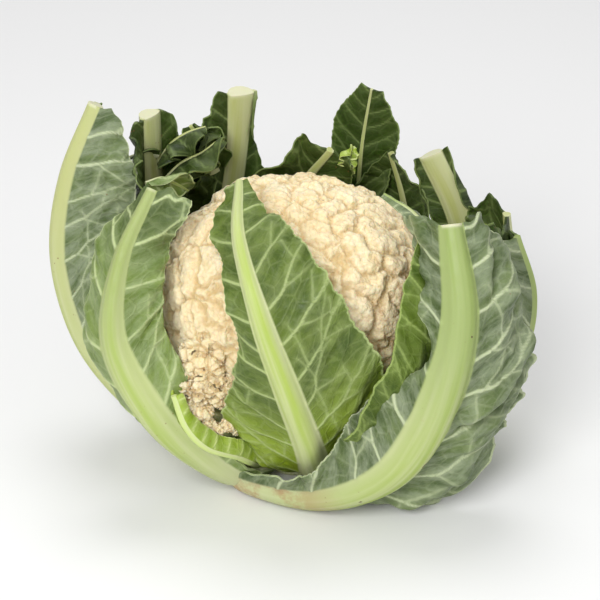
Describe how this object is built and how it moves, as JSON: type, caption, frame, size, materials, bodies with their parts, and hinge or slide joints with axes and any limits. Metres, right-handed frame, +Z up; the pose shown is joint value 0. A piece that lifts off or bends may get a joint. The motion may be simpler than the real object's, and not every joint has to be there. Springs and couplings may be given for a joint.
{
  "type": "cauliflower",
  "caption": "Whole cauliflower: a domed cream curd and loose lower florets on a short cut stalk, held in a ring of trimmed green leaves with thick pale midribs.",
  "frame": {"origin": "centre of the stalk's flat cut face, on which the cauliflower stands", "axes": "+Z up out of the stalk through the curd; +X across the widest spread of the leaves, to the right of a viewer facing the front leaf; -Y towards that viewer"},
  "size_m": [0.2696, 0.1822, 0.1999],
  "materials": {
    "curd": "matte",
    "stalk": "matte",
    "leaf": "satin",
    "inner_leaf": "satin"
  },
  "bodies": {
    "root": {"stalk": "stalk", "curd": "curd", "lower_floret_left": "curd", "lower_floret_front": "curd", "leaf_front": "inner_leaf", "leaf_lower_left": "inner_leaf", "leaf_right_inner": "inner_leaf", "leaf_back_low": "leaf", "leaf_back_pointed": "leaf", "leaf_back_round": "leaf", "leaf_back_left": "leaf", "leaf_left_crumpled": "leaf", "leaf_back_right": "leaf", "leaf_right_curled": "leaf", "leaf_right": "leaf", "leaf_left": "leaf", "leaf_far_left": "leaf", "leaf_front_right": "leaf"}
  },
  "joints": []
}
